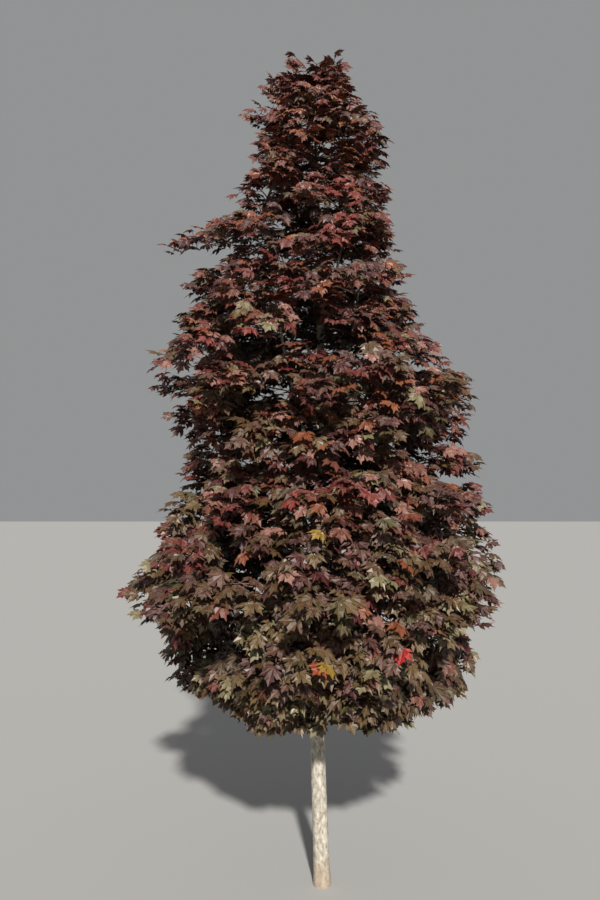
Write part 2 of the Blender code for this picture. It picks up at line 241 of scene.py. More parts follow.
# %% Write down the trunk and the tiers
# Height, how far to the right of the Z axis the middle lies, and radius.
TRUNK_LINE = (
    (0.00, 0.000, 0.0410), (0.03, 0.000, 0.0385), (0.09, -0.003, 0.0362),
    (0.20, -0.006, 0.0350), (0.45, -0.014, 0.0335), (0.75, -0.021, 0.0315),
    (1.15, -0.022, 0.0275), (1.60, -0.014, 0.0235), (2.10, -0.004, 0.0190),
    (2.60, 0.000, 0.0145), (3.05, -0.010, 0.0105), (3.42, -0.022, 0.0070),
)  # fmt: skip
SIDES = {"right": 0, "back": 90, "left": 180, "front": 270}
CORNERS = {"back_right": 45, "back_left": 135, "front_left": 225, "front_right": 315}
THIRDS = {"back": 90, "front_left": 210, "front_right": 330}
OTHER_THIRDS = {"back_right": 50, "left": 180, "front_right": 310}
# Name, floor, ceiling, the bearings of its masses in degrees, and how steeply its boughs leave.
TIERS = (
    ("skirt", CROWN_FOOT, 1.08, CORNERS, 0.45),
    ("lower", 1.08, 1.48, SIDES, 0.95),
    ("middle", 1.48, 1.90, CORNERS, 1.50),
    ("shoulder", 1.90, 2.34, SIDES, 2.10),
    ("upper", 2.34, 2.78, CORNERS, 2.40),
    ("neck", 2.78, 3.20, OTHER_THIRDS, 2.40),
    ("crest", 3.20, 3.56, THIRDS, 2.40),
)
LEADER_TOP = Vector((-0.03, 0.0, 3.72))
print("boughs to dress:", sum(len(row[3]) for row in TIERS))

# %% Work out the lines of boughs and stems
BOUGH_SHARE = 0.40  # a bough's foot, as a share of the trunk's radius there
BOUGH_TAPER = 0.65
LOWEST_BOUGH = 0.74
BOUGH_REACH = 0.34  # of the crown's reach
BOUGH_TIP_RISE = 0.30  # of its tier's height
BOUGH_SWEEP = 0.22  # of its run
STEM_DEPTH = 0.36  # from a stem's tip out to the crown's outline
STEM_RUN = 0.03  # the least that a stem reaches past its bough
STEM_TIP_RISE = 0.80  # of its tier's height
STEM_BEND = 0.40  # of its length
STEM_TIP_RADIUS = 0.0040
LINE_STEP = 0.012  # between the points of a limb's line
BOUGH_STEPS = 6  # the fewest in a bough's line
STEM_STEPS = 8  # and in a stem's


def trunk_centre(height):
    return Vector((between(TRUNK_LINE, height)[1], 0.0, height))


def arc(start, bend, end, steps):
    """Points on the arc that leaves start towards bend and arrives at end."""
    found = []
    for i in range(steps + 1):
        t = i / steps
        found.append(start * (1 - t) ** 2 + bend * 2 * t * (1 - t) + end * t * t)
    return found


def limb_arc(start, bend, end, fewest):
    """An arc with points about LINE_STEP apart, and no fewer steps than these."""
    return arc(start, bend, end, max(fewest, round((end - start).length / LINE_STEP)))


def bough_line(azimuth, floor_height, ceiling, rise):
    """A bough from the trunk's axis to the place where it enters its foliage."""
    tip_height = blend(floor_height, ceiling, BOUGH_TIP_RISE)
    run = BOUGH_REACH * crown_reach(tip_height, azimuth)
    start = trunk_centre(max(LOWEST_BOUGH, tip_height - rise * run))
    end = trunk_centre(tip_height) + polar(run, azimuth, 0.0)
    bow = polar(BOUGH_SWEEP * run, azimuth, 0.0)
    return limb_arc(start, start.lerp(end, 0.5) + bow, end, BOUGH_STEPS)


def stem_line(before, last, end):
    """A stem that carries on from a limb's end and bends towards its own."""
    along = (last - before).normalized()
    bend = last + along * STEM_BEND * (end - last).length
    return limb_arc(last, bend, end, STEM_STEPS)


def taper(first, last, count):
    return [first + (last - first) * i / (count - 1) for i in range(count)]


low_bough = 2 * BOUGH_SHARE * between(TRUNK_LINE, 1.0)[2]
print("a bough's foot at 1 m is", round(1000 * low_bough), "mm thick")

# %% [markdown]
# ## Growing twigs
# Maples are opposite: at every node two buds face each other, and each pair stands crosswise to
# the last. A twig's outer nodes carry leaf pairs and its older ones short side shoots, which carry
# pairs of their own. Growing the twigs by that rule gives the layered, star-like sprays of a
# maple, which scattered leaves never do. The twigs, stalks and leaves are only written down here,
# as lines and as anchors. Geometry Nodes will turn them into meshes.

# %% Keep what grows in lists
GOLDEN = (math.sqrt(5) - 1) / 2
SPRAY_SPACING = 0.285  # between neighbouring sprays on the crown's outside
FEWEST_SPRAYS = 6
LEADER_SPRAYS = 11
FILL_SHARE = 0.35  # fillers between the evenly spread sprays, as a share of their number
FILL_SPREAD = 0.62  # of the mass's width, how far to each side of its middle fillers may start
FULL_REACH = (0.97, 1.01)  # every third evenly spread one gets this share of the crown's reach
PART_REACH = (0.78, 0.95)  # the other evenly spread ones get this
FILL_REACH = (0.50, 0.88)  # and the fillers this
FILL_RISE = (-0.24, 0.96)  # a filler may pass the mass's floor or ceiling, so that no seam shows
TWIGS_FROM = 0.06  # shares of the stem's length
TWIGS_TO = 0.96
LEAST_TWIG_REACH = 0.05
LOWEST_TIP = 0.86
HIGHEST_NODE = 3.76
CORNER_RISES = (1.0, 0.45)  # of the sprays that close the seam to the next mass
CORNER_REACH = 0.93
SIDE_TRIM = 0.20  # to the left and right, these sprays stay this share short of the outline
TRIM_FOCUS = 4  # the higher, the less of them that trim reaches


def on_line(points, share):
    """The place at this share of a line's points."""
    step = share * (len(points) - 1)
    first = min(int(step), len(points) - 2)
    return points[first].lerp(points[first + 1], step - first)


class Mass:
    """One mass of foliage: the space that it fills, and the lines and anchors that grow in it."""

    def __init__(self, tier, azimuth, width, floor_height, ceiling, fewest=FEWEST_SPRAYS):
        self.tier, self.azimuth, self.width = tier, azimuth, width
        self.floor, self.ceiling, self.fewest = floor_height, ceiling, fewest
        self.stem, self.twigs, self.stalks, self.leaves = [], [], [], []

    def sprays(self, draws):
        """Azimuth, rise and share of the reach for each spray: evenly spread ones, then fillers."""
        middle = (self.floor + self.ceiling) / 2
        area = crown_reach(middle, self.azimuth) * self.width * (self.ceiling - self.floor)
        count = max(self.fewest, round(area / SPRAY_SPACING**2))
        for i in range(count):
            turn = self.width * ((i + 0.5) / count - 0.5)
            reach = FULL_REACH if i % 3 == 0 else PART_REACH
            yield self.azimuth + turn, ((i + 1) * GOLDEN) % 1.0, draws.uniform(*reach)
        for _ in range(round(count * FILL_SHARE)):
            turn = self.width * draws.uniform(-FILL_SPREAD, FILL_SPREAD)
            yield self.azimuth + turn, draws.uniform(*FILL_RISE), draws.uniform(*FILL_REACH)

    def foot(self, height):
        """The place on the mass's stem from which a twig to this height grows."""
        rise = min(1.0, max(0.0, (height - self.floor) / (self.ceiling - self.floor)))
        return on_line(self.stem, blend(TWIGS_FROM, TWIGS_TO, rise))


print("sprays stand about", round(100 * SPRAY_SPACING), "cm apart")

# %% [markdown]
# ## Autumn and summer tints
# The leaves aren't one colour. High up they are wine, plum and rust, and the brighter rust there
# is partly their own redder colour and partly painted glow of sunlit leaves, which let no light
# through here. Lower down they are bronze, mauve and olive, and deep inside the crown a dark tint
# paints the shade there. Each shoot gets one tint, drawn from weights that change with height, and
# some of its leaves another, so colour comes in small clusters as it does on the tree. Every tint
# is one plain base colour, because a pattern would smear once thousands of leaves are joined.

# %% Deal out the tints
ODD_LEAVES = 0.40  # the share of leaves that don't keep their shoot's tint
TINTS = {
    "wine": (64, 27, 26),
    "maroon": (88, 38, 32),
    "plum": (66, 40, 36),
    "dusty_mauve": (80, 56, 46),
    "rosewood": (94, 52, 40),
    "rust": (108, 58, 34),
    "terracotta": (122, 72, 48),
    "rose_mauve": (124, 86, 76),
    "bronze": (74, 55, 33),
    "tan": (88, 71, 45),
    "olive_brown": (62, 49, 30),
    "olive": (68, 61, 35),
    "pale_underside": (108, 100, 73),
    # painted shade: this dark tint stands for the shade deep inside the crown
    "shade": (46, 31, 22),
    "crimson": (104, 41, 33),
    "scarlet": (146, 32, 30),
    "orange": (132, 58, 32),
    "yellow": (124, 98, 34),
}
TINT_NAMES = list(TINTS)
SHADE_DEPTH = (0.27, 0.40)  # in from the crown's outline, where leaves get the dark tint that paints shade
# The upper rows favour rust, rosewood and terracotta: partly the leaves' own redder colour high up, partly
# painted glow of sunlit leaves.
# Height, then the weights of the common tints, which are the first ones, in their order.
TINT_WEIGHTS = (
    (0.66, 1, 1, 2, 9, 2, 0, 0, 2, 12, 17, 11, 9, 11),
    (1.30, 3, 3, 6, 11, 4, 1, 0, 3, 12, 9, 9, 4, 4),
    (1.75, 8, 9, 6, 8, 10, 3, 2, 6, 9, 4, 5, 1, 2),
    (2.20, 7, 9, 5, 8, 9, 3, 2, 7, 8, 6, 4, 1, 2),
    (2.80, 8, 13, 5, 5, 13, 7, 1, 1, 4, 1, 3, 0, 0),
    (3.93, 3, 12, 2, 2, 16, 20, 6, 1, 3, 0, 1, 0, 0),
)


def deal_tint(height, draws):
    """The number of a tint, drawn by the weights for this height."""
    weights = between(TINT_WEIGHTS, max(height, CROWN_FOOT))[1:]
    return draws.choices(range(len(weights)), weights)[0]


def in_shade(place, draws):
    """True if the light hardly reaches this place, deep in the crown."""
    depth = crown_reach(place.z, bearing_of(place)) - place.xy.length
    return depth > draws.uniform(*SHADE_DEPTH)


print("tints:", ", ".join(TINT_NAMES))

# %% [markdown]
# ## How a leaf hangs
# A maple leaf stands off on a long stalk and turns its upper face to the light. The lowest blades
# hang, the others lie almost level, and at the very top they reach up. One table of pitch against
# height says so. All blades lean to the bright side, most of all in the upper crown, and a seeded
# spread keeps neighbours from lining up.

# %% Set a leaf on its stalk
# Height, the midrib's pitch and the lean to the bright side in degrees, and a blade's length.
LEAF_HANG = (
    (CROWN_FOOT, -46, 24, 0.090),
    (0.85, -25, 24, 0.089),
    (1.30, -12, 21, 0.088),
    (1.90, -6, 20, 0.085),
    (2.60, -3, 26, 0.078),
    (3.20, 2, 34, 0.072),
    (3.60, 10, 36, 0.069),
    (3.80, 38, 30, 0.069),
    (TREE_TOP, 62, 20, 0.069),
)
LENGTH_SPREAD = (0.84, 1.14)
PITCH_SPREAD = 0.44  # radians either way, and so are the next two
HEADING_SPREAD = 1.00
ROLL_SPREAD = 0.50
OUTWARD_SHARE = 0.8  # how much a blade heads out of the crown, against 1 along its stalk
BRIGHT_SIDE = math.radians(-82)
STALK_SHARE = (0.45, 0.95)  # a stalk's length, as a share of its blade's
STALK_ANGLE = math.radians(52)
STALK_BEND = 0.6  # a share of its length, as is the next
STALK_SAG = 0.18
STALK_RADIUS = (0.0014, 0.0011)
OUTLINE_SLACK = 0.02
DEPTH = [corner[1] for corner in cad_box]  # how far back and forth the solids reach
LOBE_SPAN = 0.60  # of its length, how far a blade reaches sideways
LEAF_TRIES = 4
LEAF_SHAPES = 4
CROWN_MIDDLE = 1.65  # the height from which the crown rounds off in front and behind
ROUNDING = 0.31  # for each metre in front or behind
LEAN_AXIS = polar(1.0, BRIGHT_SIDE + math.pi / 2, 0.0)


def leaf_turn(heading, pitch, roll, lean):
    """A blade's turn: its midrib heads that way, tipped by pitch, it rolls, and then it leans."""
    turn = Matrix.Rotation(lean, 4, LEAN_AXIS) @ Matrix.Rotation(heading - math.pi / 2, 4, "Z")
    return turn @ Matrix.Rotation(pitch, 4, "X") @ Matrix.Rotation(roll, 4, "Y")


def inside(point, slack):
    """True if this place is within the crown's outline, or no further past it than slack."""
    height = CROWN_MIDDLE + (point.z - CROWN_MIDDLE) * (1 + ROUNDING * abs(point.y))
    if not CROWN_FOOT - slack <= height <= TREE_TOP + slack:
        return False
    if not DEPTH[0] - slack <= point.y <= DEPTH[1] + slack:
        return False
    return point.xy.length <= crown_reach(height, bearing_of(point)) + slack


def hang_leaf(mass, node, away, size, tint, draws):
    """Adds one leaf whose stalk leaves this node, if some turn of it stays within the crown."""
    for _ in range(LEAF_TRIES):
        _, pitch, lean, length = between(LEAF_HANG, node.z)
        length *= size * draws.uniform(*LENGTH_SPREAD)
        stalk = length * draws.uniform(*STALK_SHARE)
        joint = node + away * stalk - Vector((0, 0, STALK_SAG * stalk))
        out = joint.xy.normalized() * OUTWARD_SHARE + away.xy
        heading = bearing_of(out) + draws.uniform(-HEADING_SPREAD, HEADING_SPREAD)
        pitch = math.radians(pitch) + draws.uniform(-PITCH_SPREAD, PITCH_SPREAD)
        roll = draws.uniform(-ROLL_SPREAD, ROLL_SPREAD)
        turn = leaf_turn(heading, pitch, roll, math.radians(lean))
        across = (turn @ Vector((1, 0, 0))) * length * LOBE_SPAN
        midrib = (turn @ Vector((0, 1, 0))) * length
        lobes = (joint + midrib, joint + midrib / 2 + across, joint + midrib / 2 - across)
        if all(inside(lobe, OUTLINE_SLACK) for lobe in lobes):
            bend = node + away * stalk * STALK_BEND + Vector((0, 0, STALK_SAG * stalk))
            line = arc(node, bend, joint, 2)
            mass.stalks.append((line, taper(*STALK_RADIUS, len(line))))
            if draws.random() < ODD_LEAVES:
                tint = deal_tint(joint.z, draws)
            # painted shade: a leaf deep in the crown takes the dark shade tint
            if in_shade(joint, draws):
                tint = TINT_NAMES.index("shade")
            shape = draws.randrange(LEAF_SHAPES)
            mass.leaves.append((joint, turn.to_euler(), length, shape, tint))
            return


print("blades are", *(round(1000 * LEAF_HANG[i][-1]) for i in (-1, 0)), "mm long, high and low")

# %% [markdown]
# ## A shoot and a spray
# A shoot is a line with opposite pairs of leaves on its outer stretch. A spray is a longer twig
# that ends in a shoot and bears side shoots on its older nodes, the longer the further back. They
# spread sideways more than up and down, which is why a maple's foliage lies in layers. Both thin
# towards the end and close in a small plump bud, which comes from the line's radius alone.

# %% Grow a shoot
NODE_STEP = 0.034  # between a shoot's nodes
SHOOT_LEAFY = 0.85  # of its length, how far back from its tip a shoot bears leaves
SHOOT_RADIUS = (0.0024, 0.0014)
SHOOT_STEPS = 3
TWIG_LIFT = 0.10  # of its length, how far a twig bows up
PAIR_TWIST = 0.4  # radians either way
BUD_RADIUS = 0.0024
BUD_LENGTH = 0.009
BUD_SHAPE = ((0.35, 1.0), (0.7, 0.8), (1.0, 0.1))  # shares of its length and of its radius
LEAF_GROWTH = (0.72, 0.86, 1.0)  # how big a pair is, from a shoot's tip back
UPRIGHT = 0.05  # below this sine of its slant, a line counts as upright
UP = Vector((0, 0, 1))


def with_bud(line, radii):
    """The line with a bud added at its end: a neck, a belly and a point."""
    along = (line[-1] - line[-2]).normalized()
    tip = [line[-1] + along * BUD_LENGTH * share for share, _ in BUD_SHAPE]
    return line + tip, radii + [BUD_RADIUS * share for _, share in BUD_SHAPE]


def add_twig(mass, start, end, radii, steps):
    """Adds a twig that bows up a little and ends in a bud, and gives its line."""
    bow = start.lerp(end, 0.5) + UP * TWIG_LIFT * (end - start).length
    line = arc(start, bow, end, steps)
    mass.twigs.append(with_bud(line, taper(*radii, len(line))))
    return line


def sideways(along, turn):
    """The direction square to a line, turned that far from level about it."""
    level = along.cross(UP)
    if level.length < UPRIGHT:
        level = Vector((1, 0, 0))
    level.normalize()
    return level * math.cos(turn) + level.cross(along).normalized() * math.sin(turn)


def pair_at(mass, node, along, turn, size, tint, draws):
    """Two leaves that face each other across a node."""
    side = sideways(along, turn)
    for way in (side, -side):
        away = (along * math.cos(STALK_ANGLE) + way * math.sin(STALK_ANGLE)).normalized()
        hang_leaf(mass, node, away, size, tint, draws)


def grow_shoot(mass, start, end, pairs, draws):
    """A shoot from start to end, with this many pairs of leaves counted from its tip."""
    add_twig(mass, start, end, SHOOT_RADIUS, SHOOT_STEPS)
    tint = deal_tint(end.z, draws)
    along = (end - start).normalized()
    turn = draws.choice((0.0, math.pi / 2)) + draws.uniform(-PAIR_TWIST, PAIR_TWIST)
    for i in range(pairs):
        if i * NODE_STEP > (end - start).length * SHOOT_LEAFY:
            break
        size = LEAF_GROWTH[min(i, len(LEAF_GROWTH) - 1)]
        node = end - along * i * NODE_STEP
        pair_at(mass, node, along, turn + i * math.pi / 2, size, tint, draws)


print("a shoot's bud is", round(1000 * BUD_LENGTH), "mm long")

# %% Grow a spray
SPRAY_TIP_DEPTH = 0.085  # from a spray's last node to the crown's outline
SPRAY_LEAFY = 0.92  # of its length, as for a shoot
SPRAY_RADIUS = (0.0042, 0.0018)
SPRAY_STEPS = 7
SPRAY_NODES = (0.0, 0.036, 0.080, 0.130, 0.185, 0.245, 0.310)  # back from its tip
FIRST_SIDE_SHOOT = 2  # the nodes from this one on carry side shoots
SHOOT_ANGLE = math.radians(50)
SHOOT_LENGTH = (0.045, 0.30)  # a side shoot's length: this much, and this share of the way back
MOST_SHOOT = 0.13
SHOOT_SPREAD = (0.8, 1.15)
SHOOT_MARGIN = 0.03  # a side shoot that ends nearer to the outline is cut to half
SIDE_PAIRS = 2
SHOOT_TILT = 0.28  # radians that a side shoot may leave out of level
OUTWARD_PULL = 0.30
UPWARD_PULL = 0.12
TIP_TURN = 0.4  # the share of a tip's depth that goes with its leaves' pitch
TIP_MARGIN = 0.02
SINK_STEP = 0.02


def place_back(line, back):
    """The place on a line this far back from its end, and the line's direction there."""
    for after, before in zip(reversed(line), reversed(line[:-1])):
        run = (after - before).length
        if back <= run:
            return after.lerp(before, back / run), (after - before).normalized()
        back -= run
    return None, None


def side_shoots(mass, node, along, back, spread, draws):
    """Two side shoots that face each other across an older node of a spray, almost level."""
    side = sideways(along, draws.uniform(-SHOOT_TILT, SHOOT_TILT))
    out = Vector((node.x, node.y, 0)).normalized()
    for way in (side, -side):
        heading = along * math.cos(SHOOT_ANGLE) + way * math.sin(SHOOT_ANGLE)
        heading += out * OUTWARD_PULL + UP * UPWARD_PULL
        length = spread * min(MOST_SHOOT, SHOOT_LENGTH[0] + SHOOT_LENGTH[1] * back)
        end = node + heading.normalized() * length * draws.uniform(*SHOOT_SPREAD)
        if not inside(end, -SHOOT_MARGIN):
            end = node.lerp(end, 0.5)
        grow_shoot(mass, node, end, SIDE_PAIRS, draws)


def grow_spray(mass, start, end, draws, spread=1.0, nodes=SPRAY_NODES):
    """A twig from the stem to the crown's outside, with leaf pairs and side shoots."""
    line = add_twig(mass, start, end, SPRAY_RADIUS, SPRAY_STEPS)
    tint = deal_tint(end.z, draws)
    for i, back in enumerate(nodes):
        node, along = place_back(line, back)
        if node is None or back > (end - start).length * SPRAY_LEAFY:
            break
        if i < FIRST_SIDE_SHOOT:
            turn = i * math.pi / 2 + draws.uniform(-PAIR_TWIST, PAIR_TWIST)
            pair_at(mass, node, along, turn, LEAF_GROWTH[i], tint, draws)
        else:
            side_shoots(mass, node, along, back, spread, draws)


def twig_end(azimuth, height, reach):
    """Where a spray's last node stands, so that its leaves just reach this far out."""
    pitch = math.radians(between(LEAF_HANG, height)[1])
    depth = SPRAY_TIP_DEPTH * (1 - TIP_TURN + TIP_TURN * math.cos(pitch))
    radius = max(LEAST_TWIG_REACH, reach - depth)
    end = polar(radius, azimuth, min(height - SPRAY_TIP_DEPTH * math.sin(pitch), HIGHEST_NODE))
    while not inside(end, -TIP_MARGIN) and end.z > CROWN_MIDDLE:
        end.z -= SINK_STEP
    return end


def grow_mass(mass, draws):
    """Every spray of one mass, each with its tip by the crown's outline."""
    corner = mass.azimuth + mass.width / 2
    for rise in CORNER_RISES if mass.ceiling < TREE_TOP else ():
        height = blend(mass.floor, mass.ceiling, rise)
        end = twig_end(corner, height, crown_reach(height, corner) * CORNER_REACH)
        grow_spray(mass, mass.foot(height), end, draws)
    for azimuth, rise, share in mass.sprays(draws):
        height = max(LOWEST_TIP, blend(mass.floor, mass.ceiling, rise))
        share *= 1 - SIDE_TRIM * math.cos(azimuth) ** TRIM_FOCUS
        end = twig_end(azimuth, height, crown_reach(height, azimuth) * share)
        grow_spray(mass, mass.foot(height), end, draws)


print("a spray has up to", len(SPRAY_NODES), "nodes")

# %% [markdown]
# ## Shoots on the old wood
# Bare wood inside a crown isn't quite bare. Short shoots with a few leaves sit on the stems and on
# the trunk, and they close the view through the middle of the tree.

# %% Grow short shoots on a limb
INNER_STEP = 0.075  # between the short shoots along a limb
INNER_LENGTH = (0.06, 0.15)
INNER_FORWARD = 0.6  # how much a short shoot heads along its limb and up, against 1 square to it
INNER_UPWARD = 0.2
INNER_PAIRS = 2
INNER_MARGIN = 0.05
GOLDEN_TURN = 2 * math.pi * GOLDEN


def short_shoot(mass, place, along, count, draws):
    """One short shoot on a limb, turned on from the one before by the golden angle."""
    way = sideways(along, count * GOLDEN_TURN)
    heading = (along * INNER_FORWARD + way + UP * INNER_UPWARD).normalized()
    end = place + heading * draws.uniform(*INNER_LENGTH)
    if inside(end, -INNER_MARGIN):
        grow_shoot(mass, place, end, INNER_PAIRS, draws)


def inner_shoots(mass, line, draws):
    """Short shoots along a limb, a step apart."""
    run, count = 0.0, 0
    for before, after in zip(line, line[1:]):
        run += (after - before).length
        if run >= INNER_STEP:
            run, count = 0.0, count + 1
            short_shoot(mass, after, (after - before).normalized(), count, draws)


print("short shoots every", round(100 * INNER_STEP), "cm")

# %% Grow twigs straight from the trunk
HEART_STEP = 0.062  # between the trunk's own twigs
HEART_FROM, HEART_TO = 0.86, 3.48
HEART_REACH = (0.30, 0.72)
HEART_RISE = 0.05
CLOSE_STEP = 0.035  # between the short shoots that sit right on the trunk


def turn_between(one, other):
    """How far apart two bearings are, in radians."""
    return abs((one - other + math.pi) % (2 * math.pi) - math.pi)


def mass_at(masses, height, azimuth):
    """The mass that fills this height and side of the crown."""
    near = [mass for mass in masses if mass.floor <= height <= mass.ceiling] or masses[-1:]
    return min(near, key=lambda found: turn_between(found.azimuth, azimuth))


def up_the_trunk(step):
    """Numbers and heights of places a step apart on the trunk, inside the crown."""
    return [(i, HEART_FROM + i * step) for i in range(int((HEART_TO - HEART_FROM) / step))]


def trunk_twigs(masses, draws):
    """Sprays and short shoots on the trunk, each given to the mass that it grows in."""
    for i, height in up_the_trunk(HEART_STEP):
        azimuth = i * GOLDEN_TURN
        mass = mass_at(masses, height, azimuth)
        reach = crown_reach(height, azimuth) * draws.uniform(*HEART_REACH)
        grow_spray(mass, trunk_centre(height), polar(reach, azimuth, height + HEART_RISE), draws)
    for i, height in up_the_trunk(CLOSE_STEP):
        mass = mass_at(masses, height, -i * GOLDEN_TURN)
        short_shoot(mass, trunk_centre(height), UP, i, draws)


print("twigs from the trunk:", len(up_the_trunk(HEART_STEP)))

# %% [markdown]
# ## Sprays that break the outline
# From the viewer's side the crown isn't smooth: at both edges single sprays stick out with sky
# between them, one reaches far out at the left shoulder, and a few hang lowest in front. Those
# tips are written down, and so are some that close gaps in front. The other sprays stay well short
# of the outline on the left and right.

# %% Write down the tips on both sides and in front
# On the sides, each tip's height and its reach. In front, its place.
LEFT_TIPS = (
    (3.83, 0.28), (3.74, 0.33), (3.62, 0.42), (3.46, 0.36), (3.28, 0.35), (3.14, 0.40),
    (2.93, 0.78), (2.73, 0.69), (2.54, 0.72), (2.46, 0.75), (2.35, 0.83), (2.26, 0.84),
    (2.10, 0.76), (1.99, 0.68), (1.82, 0.69), (1.65, 0.74), (1.53, 0.76), (1.38, 0.86),
    (1.28, 0.94), (1.17, 0.89), (1.07, 0.70), (0.98, 0.75), (0.87, 0.71), (0.76, 0.44),
)  # fmt: skip
RIGHT_TIPS = (
    (3.81, 0.16), (3.70, 0.18), (3.58, 0.31), (3.45, 0.38), (3.32, 0.35), (3.17, 0.38),
    (2.92, 0.40), (2.76, 0.41), (2.66, 0.46), (2.50, 0.45), (2.37, 0.67), (2.27, 0.74),
    (2.17, 0.79), (2.07, 0.72), (1.99, 0.72), (1.87, 0.77), (1.72, 0.80), (1.52, 0.86),
    (1.40, 0.86), (1.28, 0.82), (1.16, 0.81), (0.97, 0.73), (0.86, 0.69), (0.76, 0.45),
)  # fmt: skip
FRONT_TIPS = (
    (-0.24, -0.34, 0.78), (-0.17, -0.40, 0.77), (-0.03, -0.30, 0.75), (0.30, -0.36, 0.76),
    (0.45, -0.28, 0.86), (-0.34, -0.30, 0.82), (0.02, -0.70, 1.60), (-0.03, -0.68, 1.52),
    (0.13, -0.64, 1.49), (0.19, -0.70, 1.42), (0.25, -0.50, 1.88), (0.30, -0.66, 1.12),
    (0.26, -0.66, 1.50), (0.12, -0.66, 1.04), (0.24, -0.60, 1.97), (-0.32, -0.55, 1.94),
    (0.02, -0.58, 2.22),
)  # fmt: skip
SLIM_NODES = SPRAY_NODES[:5]
SLIM_SPREAD = 0.6  # a slim spray's side shoots, as a share of the usual ones
SIDE_SWING = 0.16  # radians in front of or behind the plane that faces the viewer


def edge_sprays(masses, tips, bearing, draws):
    """Slim sprays whose tips are given, on one side of the crown."""
    for height, reach in tips:
        mass = mass_at(masses, height, bearing)
        end = twig_end(bearing + draws.uniform(-SIDE_SWING, SIDE_SWING), height, reach)
        grow_spray(mass, mass.foot(height), end, draws, SLIM_SPREAD, SLIM_NODES)


def front_sprays(masses, draws):
    """Slim sprays in front: the ones that hang lowest, and some that close gaps."""
    for tip in FRONT_TIPS:
        end = Vector(tip)
        mass = mass_at(masses, end.z, bearing_of(end))
        grow_spray(mass, mass.foot(end.z), end, draws, SLIM_SPREAD, SLIM_NODES)


print("tips at the edges:", len(LEFT_TIPS) + len(RIGHT_TIPS))

# %% Grow every mass
TOP_TIPS = ((-0.13, 3.86), (0.07, 3.86))  # the crown ends in two peaks, at these X and Z
PEAK_FOOT = 0.7  # of the leader's length
PEAK_SPREAD = 0.5  # a peak's side shoots, as a share of the usual ones
BARE_SHARE = 3  # a bough is bare up to one third of its length
boughs, stems, masses = [], [], []
for tier, tier_floor, ceiling, directions, rise in TIERS:
    width = 2 * math.pi / len(directions)
    for side, degrees in directions.items():
        azimuth = math.radians(degrees)
        line = bough_line(azimuth, tier_floor, ceiling, rise)
        foot = BOUGH_SHARE * between(TRUNK_LINE, line[0].z)[2]
        boughs.append((line, taper(foot, foot * BOUGH_TAPER, len(line))))
        height = blend(tier_floor, ceiling, STEM_TIP_RISE)
        reach = max(line[-1].xy.length + STEM_RUN, crown_reach(height, azimuth) - STEM_DEPTH)
        stem = stem_line(line[-2], line[-1], polar(reach, azimuth, height))
        stems.append((stem, taper(foot * BOUGH_TAPER, STEM_TIP_RADIUS, len(stem))))
        mass = Mass(tier, azimuth, width, tier_floor, ceiling)
        mass.stem = stem
        draws = random.Random(f"{tier} {side}")
        grow_mass(mass, draws)
        inner_shoots(mass, line[len(line) // BARE_SHARE :] + stem[1:], draws)
        masses.append(mass)

below, trunk_tip = (trunk_centre(row[0]) for row in TRUNK_LINE[-2:])
leader_stem = stem_line(below, trunk_tip, LEADER_TOP)
stems.append((leader_stem, taper(TRUNK_LINE[-1][2], STEM_TIP_RADIUS, len(leader_stem))))
leader = Mass("leader", 0.0, 2 * math.pi, TIERS[-1][2], TREE_TOP, LEADER_SPRAYS)
draws = random.Random("leader")
leader.stem = leader_stem
grow_mass(leader, draws)
for x, height in TOP_TIPS:
    foot = on_line(leader_stem, PEAK_FOOT)
    grow_spray(leader, foot, Vector((x, 0.0, height)), draws, PEAK_SPREAD, SLIM_NODES)
masses.append(leader)
trunk_twigs(masses, random.Random("heart"))
edge_sprays(masses, LEFT_TIPS, math.pi, random.Random("left edge"))
edge_sprays(masses, RIGHT_TIPS, 0.0, random.Random("right edge"))
front_sprays(masses, random.Random("low"))
print("masses:", len(masses), " leaves:", sum(len(mass.leaves) for mass in masses))

# %% [markdown]
# ## Leaves that turned early
# A few leaves have coloured before the rest: single scarlet, orange and yellow ones low in front,
# and crimson patches from the middle to near the top. One small patch shows pale undersides. Each
# is written down as a place near the crown's outside, and the leaves nearest to it change their
# tint.

# %% Turn a few leaves early
# For each tint, the places and how many leaves turn there.
EARLY_LEAVES = {
    "scarlet": ((0.29, -0.70, 1.12, 1),),
    "orange": ((0.07, -0.82, 1.07, 2),),
    "yellow": ((0.03, -0.78, 1.13, 1), (-0.06, -0.80, 1.55, 1)),
    "crimson": (
        (-0.37, -0.68, 2.38, 2), (-0.49, -0.60, 2.33, 3), (0.19, -0.72, 1.71, 2),
        (-0.17, -0.72, 1.76, 2), (0.16, -0.56, 2.86, 6), (0.10, -0.52, 3.00, 8),
        (0.20, -0.50, 3.12, 8),
    ),
    "pale_underside": ((-0.11, -0.70, 2.43, 3),),
}  # fmt: skip
every_leaf = [(leaf[0], mass, i) for mass in masses for i, leaf in enumerate(mass.leaves)]
for tint, spots in EARLY_LEAVES.items():
    for *place, count in spots:
        every_leaf.sort(key=lambda found: (found[0] - Vector(place)).length)
        for _, mass, i in every_leaf[:count]:
            mass.leaves[i] = (*mass.leaves[i][:4], TINT_NAMES.index(tint))
print("leaves turned early:", sum(spot[3] for spots in EARLY_LEAVES.values() for spot in spots))

# %% [markdown]
# ## Finishes
# A purple maple leaf is dull rather than wet, but it has a waxy skin that catches the sky at a low
# angle, and its net of veins quilts the blade. So each tint shares one recipe: a plain colour, a
# thin coat, roughness that wanders, and a bump from the leaf's own UV map, along which veins can
# run.

# %% Helpers for nodes
GAMMA = 2.2


def socket(sockets, name):
    """The socket with this number, or the one in use of those with this name."""
    if isinstance(name, int):
        return sockets[name]
    return next(found for found in sockets if found.name == name and found.enabled)


